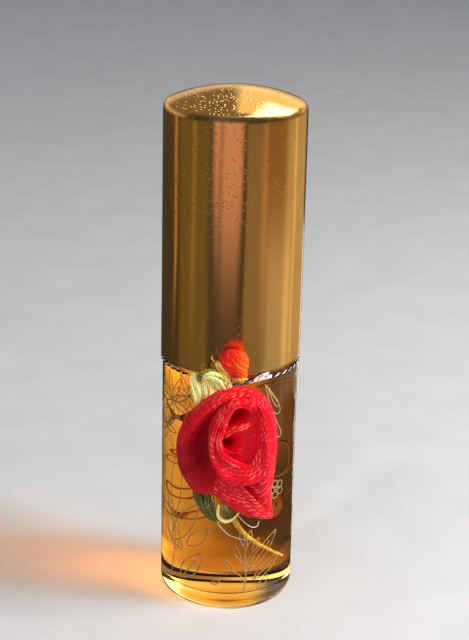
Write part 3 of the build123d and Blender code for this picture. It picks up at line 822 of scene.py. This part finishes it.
def make_bud():
    # in these yarns the first colour is painted shade in the grooves and the last a painted highlight
    crimson = yarn_material("crimson_floss", (0.45, 0.0, 0.004), (0.80, 0.010, 0.004), (1.0, 0.07, 0.02))
    orange = yarn_material("orange_red_floss", (0.66, 0.016, 0.002), (0.97, 0.065, 0.003), (1.0, 0.20, 0.02))
    bud_lobe("bud_lobe_crimson", "bud_lobe_left",
             [(1.0, -11.8, 39.2), (0.75, -11.75, 40.2), (0.42, -11.7, 41.5), (0.36, -11.65, 43.25)],
             (0.9, 1.15, 1.5, 1.82, 1.85, 1.75), 0.66, crimson)
    bud_lobe("bud_lobe_orange", "bud_lobe_right",
             [(1.65, -12.0, 39.2), (1.58, -12.1, 40.2), (1.48, -12.15, 41.4), (1.4, -11.9, 43.1)],
             (0.68, 0.78, 0.9, 1.03, 1.08, 1.0), 1.0, orange)
    gold = yarn_material("gold_thread", (0.20, 0.06, 0.006), (0.62, 0.24, 0.03), (0.95, 0.60, 0.15),
                         sheen_tint=(1, 0.85, 0.5))
    wraps = []
    for index in range(3):
        angle = full_turn(60)
        z = 39.02 + 0.14 * index + 0.08 * np.cos(angle)
        ring = np.stack([1.35 + 0.98 * np.cos(angle), -12.05 + 0.85 * np.sin(angle), z], 1)
        wraps.append(strand(ring, 0.09, 8, closed=True, ply=0.12, pitch=0.5))
    core = strand(np.array([(1.35, -12.05, 38.9), (1.35, -12.05, 39.4)]), 0.84, 40)
    piece_from("bud_cup_wrap", joined(wraps + [core]), gold)
    return gold


def make_leaves(gold):
    # in these yarns the first colour is painted shade in the grooves and the last a painted highlight
    pale = yarn_material("pale_green_floss", (0.30, 0.25, 0.02), (1.0, 0.95, 0.32), (1.0, 1.0, 0.65))
    olive = yarn_material("olive_floss", (0.035, 0.030, 0.004), (0.17, 0.14, 0.022), (0.52, 0.44, 0.12))
    dark = yarn_material("dark_green_floss", (0.020, 0.022, 0.004), (0.13, 0.135, 0.028), (0.55, 0.52, 0.20))
    yellow = yarn_material("yellow_floss", (0.45, 0.19, 0.010), (0.95, 0.55, 0.07), (1.0, 0.85, 0.35))
    thread = yarn_material("pale_thread", (0.45, 0.34, 0.28), (0.82, 0.70, 0.62), (1.0, 0.93, 0.87))
    # piece, yarn, route, half width, half depth, strands, strand radius, turns, taper, ply
    for name, yarn, route, *shape in (
            ("leaf_loop_floss", pale,
             [(-3.6, -11.6, 38.9), (-3.2, -11.9, 39.4), (-2.3, -12.1, 39.35), (-1.4, -12.1, 38.75),
              (-0.75, -12.0, 37.9), (-0.45, -11.7, 36.9)],
             (0.35, 0.6, 0.85, 0.95, 0.95, 0.75), 0.4, 22, 0.17, 0.10, 0.25, 0.05),
            ("leaf_left_floss", pale,
             [(-5.05, -10.7, 39.2), (-4.95, -11.2, 38.1), (-4.7, -11.5, 37.0), (-4.5, -11.5, 35.8),
              (-4.5, -11.3, 34.4)], (0.62, 0.75, 0.85, 0.62, 0.22), 0.4, 18, 0.17, 0.10, 0.25, 0.05),
            ("leaf_middle_floss", pale,
             [(-2.7, -11.4, 38.7), (-2.75, -11.7, 37.5), (-2.9, -11.9, 36.4), (-3.3, -11.8, 35.2)],
             (1.1, 1.15, 0.9, 0.35), 0.3, 16, 0.17, 0.10, 0.3, 0.05),
            ("leaf_binding_floss", olive,
             [(-4.35, -11.4, 38.2), (-4.2, -11.7, 39.2), (-3.5, -11.9, 39.75), (-2.5, -12.0, 39.95),
              (-1.6, -11.9, 39.75)], (0.3, 0.4, 0.45, 0.4, 0.3), 0.2, 16, 0.11, 0.4, 0.3),
            ("bud_leaf_floss", yellow,
             [(-2.05, -11.5, 41.3), (-1.55, -11.7, 40.85), (-0.95, -11.8, 40.2), (-0.45, -11.75, 39.6),
              (0.0, -11.5, 39.1)], (0.2, 0.62, 0.85, 0.8, 0.4), 0.2, 15, 0.15, 0.06, 0.3, 0.06),
            ("bud_leaf_curl_thread", gold,
             [(-1.95, -11.5, 41.2), (-2.35, -11.5, 41.45), (-2.6, -11.45, 41.8), (-2.5, -11.4, 42.2)],
             0.1, 0.1, 4, 0.07, 0.5, 0.5),
            ("bud_stalk_floss", olive, [(1.3, -12.0, 38.85), (1.4, -11.7, 38.6), (1.7, -11.1, 38.2)],
             0.28, 0.28, 8, 0.12),
            ("sepal_left_floss", dark,
             [(-3.4, -11.5, 22.0), (-3.4, -12.0, 20.7), (-2.95, -12.3, 19.2), (-2.3, -12.3, 17.9),
              (-1.6, -12.0, 16.8)], (1.5, 1.55, 1.15, 0.85, 0.35), 0.5, 36, 0.16, 0.06, 0.2, 0.03),
            ("sepal_right_floss", olive,
             [(0.2, -11.8, 20.4), (0.25, -12.1, 19.2), (0.3, -12.1, 18.0), (0.25, -11.9, 16.9)],
             (0.95, 0.95, 0.85, 0.4), 0.35, 22, 0.15, 0.06, 0.3, 0.03),
            ("sepal_loop_floss", pale,
             [(-1.16, -12.6, 19.54), (-1.27, -12.75, 17.98), (-0.53, -12.8, 17.08), (0.34, -12.8, 17.1),
              (1.2, -12.7, 17.67), (1.76, -12.6, 18.39)],
             (0.12, 0.15, 0.22, 0.2, 0.13, 0.08), 0.12, 7, 0.085, 0.6, 0.2, 0.06)):
        piece_from(name, floss(route, *shape), yarn)
    for name, route in (
            ("thread_long_yarn", [(-1.3, -11.8, 16.5), (-1.05, -11.8, 15.8), (0.4, -11.4, 14.1),
                                  (2.4, -10.8, 13.1), (3.6, -10.4, 12.9)]),
            ("thread_short_yarn", [(1.64, -11.9, 17.5), (2.84, -11.4, 16.0), (3.73, -11.05, 15.3),
                                   (4.47, -10.8, 15.35), (4.74, -10.7, 16.1)])):
        line = evenly_spaced(smooth_rows(route, 60), 0.06)
        piece_from(name, strand(line, 0.065, 8, ply=0.16, pitch=0.4), thread)


def make_stem():
    """Gold wire, thicker where it leaves the sepals, with a short winding halfway."""
    gilt = metal_thread_material("gold_wire", (0.72, 0.36, 0.02), (1.0, 0.62, 0.09), 0.3, metallic=0.5)
    route = [(0.9, -12.2, 17.4), (1.68, -11.95, 15.8), (2.43, -11.6, 14.69), (3.34, -11.2, 13.61),
             (4.24, -10.7, 12.64), (5.16, -10.1, 11.82), (6.23, -9.3, 10.84), (7.32, -8.3, 9.81),
             (8.41, -7.2, 8.76)]
    line = evenly_spaced(smooth_rows(route, 200), 0.05)
    t = np.linspace(0, 1, len(line))
    thickness = 0.22 + 0.24 * (1 - t) ** 1.5
    core = strand(line, thickness, 14)
    _, first, second = side_frames(line)
    winding_from, winding_to, winding_turns = 0.40, 0.56, 7
    halfway = slice(int(winding_from * len(line)), int(winding_to * len(line)))
    turning = np.linspace(0, 2 * math.pi * winding_turns, halfway.stop - halfway.start)[:, None]
    reach = (thickness[halfway] + 0.02)[:, None]
    wrap = line[halfway] + reach * (first[halfway] * np.cos(turning) + second[halfway] * np.sin(turning))
    winding = strand(evenly_spaced(wrap, 0.05), 0.08, 6)
    piece_from("stem_wire", joined([core, winding]), gilt, "rose_stem")


def make_cord():
    """Twisted silver and black cord round the neck, and its ragged knot."""
    silver = metal_thread_material("silver_yarn", (0.10, 0.09, 0.09), (0.95, 0.94, 0.96), 0.25,
                                   0.35, 0.55, 0.4)
    black = metal_thread_material("black_yarn", (0.008, 0.008, 0.010), (0.06, 0.055, 0.06), 0.4)
    white = metal_thread_material("white_yarn", (0.42, 0.40, 0.42), (1.0, 0.98, 1.0), 0.35, 0.1, 0.5, 0.1)
    low, high = (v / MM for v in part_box("neck_cord"))
    ring_radius = (high.x - low.x) / 2 - (high.z - low.z) / 2
    z = (low.z + high.z) / 2
    turns = 46
    knot_reach, knot_foot, knot_rise = 10.62, 37.62, 0.85
    angle = full_turn(2400)
    for name, start, thickness, material in (("cord_silver", 0.0, 0.11, silver),
                                             ("cord_black", math.pi, 0.12, black)):
        twist = turns * angle + start + 0.5 * np.sin(5 * angle) + 0.3 * np.sin(13 * angle)
        reach = ring_radius - 0.05 + 0.08 * np.cos(twist)
        sag = 0.16 * np.minimum(0, np.sin(angle))
        line = round_axis(reach, angle, z + sag + 0.12 * np.sin(twist))
        thickness = thickness * (1 - 0.35 * ease(np.cos(angle + 0.2), 0.80, 0.95))
        points, faces, painted_light_tone = strand(line, thickness, 8, closed=True, ply=0.1, pitch=0.3)
        piece(name, points, faces, material, painted_light_tone=painted_light_tone,
              replaces=("neck_cord",) if start == 0 else (), slot="twisted_cord")
    for name, count, first_end, last_end, material in (
            ("cord_knot_white", 12, 19, 34, white), ("cord_knot_silver", 7, 0, 31, silver),
            ("cord_knot_black", 3, 2, 24, black)):
        parts = []
        for index in range(count):
            a0 = first_end + random.uniform(-3.0, 3.0)
            a1 = last_end + random.uniform(-5.0, 1.0)
            t = np.linspace(0, 1, 50)
            degrees = a0 + (a1 - a0) * t
            around = np.radians(degrees - 90)
            spread = 0.12 + 0.30 * ease(degrees, 16, 26)
            turning = 2 * math.pi * (index / count + random.uniform(0.4, 1.2) * t)
            reach = knot_reach + 0.5 * spread * np.cos(turning)
            height = knot_foot + knot_rise * ease(degrees, 10, 30) + spread * np.sin(turning)
            line = round_axis(reach, around, height)
            parts.append(strand(line, 0.085, 7, ply=0.14, pitch=0.4))
        points, faces, painted_light_tone = joined(parts)
        piece(name, points, faces, material, painted_light_tone=painted_light_tone,
              replaces=("cord_knot",) if name == "cord_knot_white" else (), slot="twisted_cord")


# ---- printed line flowers

VIAL_RADIUS = (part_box("glass_vial")[1].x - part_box("glass_vial")[0].x) / 2 / MM
INK_WIDTH = 0.20
INK_HEIGHT = 0.02


def ink_line(points):
    """A printed line: points are (distance round the vial from its front, height) in mm."""
    line = evenly_spaced(np.asarray(points, float), 0.12)
    ahead = directions(line)
    side = np.stack([-ahead[:, 1], ahead[:, 0]], 1) * INK_WIDTH / 2
    section = ((1, -0.01), (0.7, INK_HEIGHT), (-0.7, INK_HEIGHT), (-1, -0.01))
    corners = []
    for share, lift in section:
        flat = line + side * share
        angle = flat[:, 0] / VIAL_RADIUS - math.pi / 2
        reach = VIAL_RADIUS + lift
        corners.append(round_axis(reach, angle, flat[:, 1]))
    points = np.stack(corners, 1)
    faces = grid_faces(len(line), 4, close_columns=True)
    faces += [(0, 1, 2, 3), tuple(4 * len(line) - 1 - k for k in range(4))]
    return points.reshape(-1, 3), faces, np.zeros(4 * len(line))


def turned_flat(points, place, angle):
    c, s = math.cos(math.radians(angle)), math.sin(math.radians(angle))
    return [(place[0] + x * c - y * s, place[1] + x * s + y * c) for x, y in points]


def leaf_outline(place, angle, length, width, vein=False):
    """A pointed leaf standing on place, leaning by angle, with or without a middle vein."""
    side = [(0, 0), (0.5 * width, 0.3 * length), (0.5 * width, 0.66 * length), (0.1 * width, 0.97 * length),
            (0, length)]
    right = smooth_rows(turned_flat(side, place, angle), 24)
    left = smooth_rows(turned_flat([(-x, y) for x, y in side], place, angle), 24)
    lines = [right, left]
    if vein:
        lines.append(smooth_rows(turned_flat([(0, 0), (0.04 * width, 0.4 * length),
                                              (0, 0.75 * length)], place, angle), 12))
    return lines


def drooping_loop(place, angle, length, width):
    """A long narrow petal that hangs, with a round end."""
    outline = [(0, 0), (0.30, 0.35), (0.55, 0.75), (0.35, 0.97), (0, 1), (-0.25, 0.93), (-0.30, 0.7),
               (-0.12, 0.35), (0, 0)]
    outline = [(x * width, y * length) for x, y in outline]
    return [smooth_rows(turned_flat(outline, place, angle), 40)]


def branches(place, angle, height, leaves, leaf_length, leaf_width):
    """A thin forked plant: a stem, and long stalks that each end in a narrow leaf.
    Each leaf is (share of the stem's height, lean from the stem, length of its stalk)."""
    stem = [(0, 0), (0.04 * height, 0.4 * height), (0, height)]
    lines = [smooth_rows(turned_flat(stem, place, angle), 20)]
    for share, lean, stalk in leaves:
        foot = turned_flat([(0.03 * height, share * height)], place, angle)[0]
        tip = turned_flat([(0, stalk)], foot, angle + lean)[0]
        bend = turned_flat([(0, 0.5 * stalk)], foot, angle + 0.6 * lean)[0]
        lines.append(smooth_rows([foot, bend, tip], 14))
        lines += leaf_outline(tip, angle + 0.85 * lean, leaf_length, leaf_width)
    return lines


def blossom(place, radius, petals, angle=0.0):
    """A small open flower of round petals about a dot."""
    def ring(middle, reach):
        return [(middle[0] + reach * math.cos(t), middle[1] + reach * math.sin(t))
                for t in np.linspace(0, 2 * math.pi, 20)]

    petal_at = [turned_flat([(0, 0.64 * radius)], place, angle + 360 * index / petals)[0]
                for index in range(petals)]
    return [ring(middle, 0.36 * radius) for middle in petal_at] + [ring(place, 0.16 * radius)]


def tall_plant(place, angle, height, width):
    """One long closed petal on a stalk between two lower ones."""
    lines = [smooth_rows(turned_flat([(0, 0), (0.03 * height, 0.3 * height), (0, 0.55 * height)],
                                     place, angle), 16)]
    top = turned_flat([(0, 0.5 * height)], place, angle)[0]
    lines += leaf_outline(top, angle, 0.55 * height, width)
    for lean, length in ((-30, 0.42), (28, 0.5)):
        foot = turned_flat([(0, 0.32 * height)], place, angle)[0]
        lines += leaf_outline(foot, angle + lean, length * height, 1.15 * width)
    return lines


def star_spray(place, radius, rays, angle=0.0):
    """Long thin leaves that spread from one point."""
    lines = []
    for index in range(rays):
        turn = angle + 360 * index / rays
        lines += leaf_outline(place, turn, radius * (1 - 0.25 * (index % 2)), 0.2 * radius)
    return lines


def make_print():
    """Gold line plants printed round the vial."""
    gold, tree, shader = new_material("gold_ink")
    wear = noise(tree, 1800)
    set_inputs(tree, shader, {
        "Base Color": two_tone(tree, wear, (0.56, 0.34, 0.11), (0.84, 0.58, 0.26)),
        "Metallic": 0.65, "Roughness": grey_ramp(tree, wear, 0.3, 0.45)})
    drawings = [
        (branches, (2.8, 3.6), 0, 7.0, [(0.5, 24, 2.2), (0.62, -26, 2.4), (0.9, 14, 1.6), (0.95, -12, 1.2),
                                        (0.2, 40, 3.0)], 2.6, 0.62),
        (leaf_outline, (3.2, 7.2), -42, 7.6, 1.5, True), (leaf_outline, (4.2, 5.6), -56, 5.8, 1.5, True),
        (leaf_outline, (5.0, 4.0), -50, 2.6, 0.9), (leaf_outline, (-2.2, 5.2), -70, 1.5, 0.6),
        (drooping_loop, (5.3, 36.9), -150, 5.8, 1.6), (drooping_loop, (5.6, 36.7), -148, 4.4, 0.8),
        (drooping_loop, (7.4, 31.1), -160, 3.3, 1.2), (blossom, (8.1, 19.6), 1.5, 5, 20),
        (tall_plant, (-9.8, 3.6), -4, 21.0, 2.1), (leaf_outline, (-8.2, 9.0), 14, 9.0, 2.3),
        (leaf_outline, (-7.2, 9.4), 40, 6.4, 2.0), (leaf_outline, (-7.5, 4.8), -38, 6.2, 2.2, True),
        (leaf_outline, (-6.3, 10.6), -48, 4.8, 1.7), (star_spray, (-9.8, 33.0), 4.4, 9, 12),
        (star_spray, (-6.2, 34.6), 3.4, 8, 30), (star_spray, (-11.2, 28.4), 3.4, 7, 5),
        (leaf_outline, (13.2, 36.6), 176, 4.2, 1.0), (blossom, (14.4, 20.6), 1.3, 4, 45)]
    front_half = 17.5
    for index, s in enumerate(np.linspace(front_half, 2 * math.pi * VIAL_RADIUS - front_half, 4)):
        odd = index % 2
        drawings += [
            (branches, (s - 1.6, 3.4 + 0.6 * odd), 4 - 8 * odd, 8.0,
             [(0.45, 26, 2.4), (0.6, -28, 2.6), (0.9, 16, 1.6), (0.2, -40, 3.0)], 2.6, 0.7),
            (tall_plant, (s + 2.6, 6.0 + 1.4 * odd), -5 + 8 * odd, 15.5, 2.2),
            (blossom, (s - 1.8, 19.0 - 0.8 * odd), 1.5, 4 + odd, 14 * index),
            (star_spray, (s + 0.6, 31.4 + 1.2 * odd), 3.8, 8, 20 * index),
            (leaf_outline, (s - 3.0, 24.0), 14, 5.4, 1.6)]
    lines = [line for draw, *shape in drawings for line in draw(*shape)]
    piece("gold_line_print", *joined(ink_line(line) for line in lines)[:2], gold)


# ---- glass, oil, cap, inside

def rounded(corners):
    """Profile through (radius, height, fillet) corners, each rounded by its fillet."""
    path = []
    for index, (r, z, fillet) in enumerate(corners):
        here = np.array((r, z), float)
        if fillet == 0 or index in (0, len(corners) - 1):
            path.append(here)
            continue
        back = np.array(corners[index - 1][:2], float) - here
        ahead = np.array(corners[index + 1][:2], float) - here
        back /= np.linalg.norm(back)
        ahead /= np.linalg.norm(ahead)
        half = math.acos(np.clip(back.dot(ahead), -1, 1)) / 2
        reach = fillet / math.tan(half)
        centre = here + (back + ahead) / np.linalg.norm(back + ahead) * fillet / math.sin(half)
        start, end = here + back * reach - centre, here + ahead * reach - centre
        sweep = math.atan2(start[0] * end[1] - start[1] * end[0], start.dot(end))
        for t in np.linspace(0, 1, 14 if fillet > 0.5 else 5):
            c, s = math.cos(sweep * t), math.sin(sweep * t)
            path.append(centre + np.array((start[0] * c - start[1] * s, start[0] * s + start[1] * c)))
    return path


def lathe(name, path, materials, body, node, slot, second_from=None, spokes=256, dents=0.0):
    """Smooth turned piece from a profile that starts and ends on the axis.  The profile's part
    after second_from, an index, has the second material.  dents is how far, in mm, the surface
    waves in and out."""
    path = np.asarray(path, float)
    foot, top, path = path[0], path[-1], path[1:-1]
    columns = len(path)
    angle = full_turn(spokes)[:, None]
    waves = np.sin(3 * angle + path[:, 1] / 7.0) + 0.6 * np.sin(7 * angle - path[:, 1] / 4.1)
    radius = path[:, 0] + dents * waves * np.minimum(1, path[:, 0] / 9)
    points = round_axis(radius, angle, path[:, 1])
    faces = [face[::-1] for face in grid_faces(spokes, columns, close_rows=True)]
    count = spokes * columns
    for index in range(spokes):
        after = (index + 1) % spokes
        faces.append((count, after * columns, index * columns))
        faces.append((count + 1, index * columns + columns - 1, after * columns + columns - 1))
    points = np.vstack([points.reshape(-1, 3), [(0, 0, foot[1]), (0, 0, top[1])]])
    made = piece(name, points, faces, materials[0], body=body, replaces=(node,), slot=slot)
    if second_from is not None:
        made.data.materials.append(materials[1])
        column = np.tile(np.arange(columns - 1), spokes)
        second = np.concatenate([column >= second_from, np.tile([False, True], spokes)])
        made.data.polygons.foreach_set("material_index", second.astype(np.int32))
    return made


WALL = 1.3
BASE_THICKNESS = 2.7
NECK_RADIUS = 6.6
NECK_BORE = 5.2
BEAD_RADIUS = 6.9
BEAD_LOW = 44.65
BEAD_HIGH = 46.15
BEAD_SLOPE = 0.25
SHOULDER = 40
INNER_SHOULDER = 38.9
INNER_FOOT_FILLET = 1.6
INNER_SHOULDER_FILLET = 1.9


def make_glass():
    """The vial; its wetted inner wall bends light from glass to oil instead of to air."""
    body = VIAL_RADIUS
    punt_radius, punt_depth = 6.4, 0.6
    punt_sphere = (punt_radius ** 2 + punt_depth ** 2) / (2 * punt_depth)
    punt = [(r, punt_depth - punt_sphere + math.sqrt(punt_sphere ** 2 - r * r), 0)
            for r in np.linspace(0, punt_radius - 0.01, 14)]
    neck_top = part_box("glass_vial")[1].z / MM
    outside = punt + [(punt_radius, 0, 0.02), (body, 0, 2.45), (body, SHOULDER, 2.4),
                      (NECK_RADIUS, SHOULDER, 0.15), (NECK_RADIUS, BEAD_LOW - BEAD_SLOPE, 0.05),
                      (BEAD_RADIUS, BEAD_LOW, 0.1), (BEAD_RADIUS, BEAD_HIGH, 0.1),
                      (NECK_RADIUS, BEAD_HIGH + BEAD_SLOPE, 0.05), (NECK_RADIUS, neck_top, 0.35),
                      (NECK_BORE, neck_top, 0.1)]
    oil_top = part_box("perfume_oil")[1].z / MM
    wetted = [(NECK_BORE, oil_top, 0), (NECK_BORE, INNER_SHOULDER, 0.05),
              (body - WALL, INNER_SHOULDER, INNER_SHOULDER_FILLET),
              (body - WALL, BASE_THICKNESS, INNER_FOOT_FILLET), (0, BASE_THICKNESS, 0)]
    path = rounded(outside + wetted)
    start = max(i for i, point in enumerate(path) if abs(point[1] - oil_top) < 1e-6) - 1
    lathe("vial_glass", path, (clear_glass_material(), clear_glass_material("vial_glass_wetted", 1.5 / 1.47)),
          BOTTLE, "glass_vial", "clear_glass", second_from=start)


def make_oil():
    """The oil, let into the glass by a hair so that no gap shows."""
    overlap = 0.02
    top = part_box("perfume_oil")[1].z / MM
    wall, bore = VIAL_RADIUS - WALL + overlap, NECK_BORE + overlap
    foot, shoulder = BASE_THICKNESS - overlap, INNER_SHOULDER + overlap
    path = rounded([(0, foot, 0), (wall, foot, INNER_FOOT_FILLET), (wall, shoulder, INNER_SHOULDER_FILLET),
                    (bore, shoulder, 0.05), (bore, top, 0.05), (0, top, 0)])
    lathe("oil_fill", path, (oil_material(),), BOTTLE, "perfume_oil", "amber_oil")


def make_cap():
    """The drawn shell: side, rounded edge and shallow dome, open below."""
    low, high = (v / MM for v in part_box("cap_shell"))
    side, wall, edge, turn = high.x, 0.4, 1.2, math.radians(67.5)
    hem_depth, dome_points = 0.12, 40
    edge_r = side - edge
    dome = (edge_r + edge * math.cos(turn)) / math.cos(turn)
    edge_z = high.z - dome + (dome - edge) * math.sin(turn)
    path = []
    for inset, way in ((wall, 1), (0, -1)):
        arc = [(edge_r + (edge - inset) * math.cos(a), edge_z + (edge - inset) * math.sin(a))
               for a in np.linspace(0, turn, 16)]
        cover = [((dome - inset) * math.cos(a), high.z - dome + (dome - inset) * math.sin(a))
                 for a in np.linspace(turn, math.pi / 2, dome_points)[1:]]
        flank = [(side - inset, z) for z in np.linspace(low.z + hem_depth, edge_z, 60)[:-1]]
        path += (flank + arc + cover)[::-way]
    hem = [(side - wall / 2 + wall / 2 * math.cos(a), low.z + hem_depth + hem_depth * math.sin(a))
           for a in np.linspace(math.pi, 2 * math.pi, 7)[1:-1]]
    half = len(path) // 2
    path = path[:half] + hem + path[half:]
    dome_from = len(path) - dome_points - 2
    lathe("cap_shell_drawn", path, (gold_cap_material("gold_anodised_side", 0.88, 0.18, 0.00002),
                                    gold_cap_material("gold_anodised_dome", 0.0, 0.07, 0.00007)),
          CAP, "cap_shell", "gold_aluminium", second_from=dome_from, spokes=360, dents=0.012)


def make_hard_parts():
    make_glass()
    make_oil()
    make_cap()
    for node, material in (
            ("ball_housing", plastic_material("white_plastic", (0.86, 0.86, 0.84), 0.35)),
            ("cap_liner", plastic_material("liner_plastic", (0.8, 0.8, 0.78), 0.4)),
            ("cap_seal", plastic_material("seal_foam", (0.84, 0.84, 0.82), 0.7, 2500)),
            ("roller_ball", steel_material()),
            ("glue_pad", plastic_material("set_glue", (0.72, 0.68, 0.6), 0.2))):
        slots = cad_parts[node].data.materials
        slots.clear()
        slots.append(material)


# ---- floor

def make_floor():
    material, tree, shader = new_material("pale_floor")
    set_inputs(tree, shader, {
        "Base Color": two_tone(tree, noise(tree, 90), (0.54, 0.55, 0.57), (0.58, 0.59, 0.61)),
        "Roughness": 0.85})
    mesh = bpy.data.meshes.new("floor")
    mesh.from_pydata([(-4, -4, 0), (4, -4, 0), (4, 4, 0), (-4, 4, 0)], [], [(0, 1, 2, 3)])
    mesh.materials.append(material)
    add_object("floor", mesh)


# ---- making it

look_from(Vector((0, -0.23515, 0.12821)), 0.12, 19.81, 1.33, 95.6)
make_hard_parts()
make_rose()
gold_thread = make_bud()
make_leaves(gold_thread)
make_stem()
make_cord()
make_print()

make_floor()
key = soft_light("key", (0.36, -0.10, 0.24), (0, 0, 0.04), 0.14, 0.20, 3.4, (1.0, 0.95, 0.88))
key.visible_glossy = False
soft_light("fill", (-0.10, -0.34, 0.40), (0, 0, 0.04), 0.4, 0.4, 0.8, (0.96, 0.97, 1.0))
# glowing cards, no lamps: painted reflections, and painted light seen through the glass
make_painted_light_ring("painted_reflection_cards", painted_reflection_glow, True)
make_painted_light_ring("painted_through_glass_cards", painted_through_glass_glow, False)

world = bpy.data.worlds.new("world")
bpy.context.scene.world = world
world.use_nodes = True
world.node_tree.nodes["Background"].inputs["Color"].default_value = (0.75, 0.78, 0.82, 1)
world.node_tree.nodes["Background"].inputs["Strength"].default_value = 0.40
bpy.context.scene.view_settings.view_transform = "Standard"
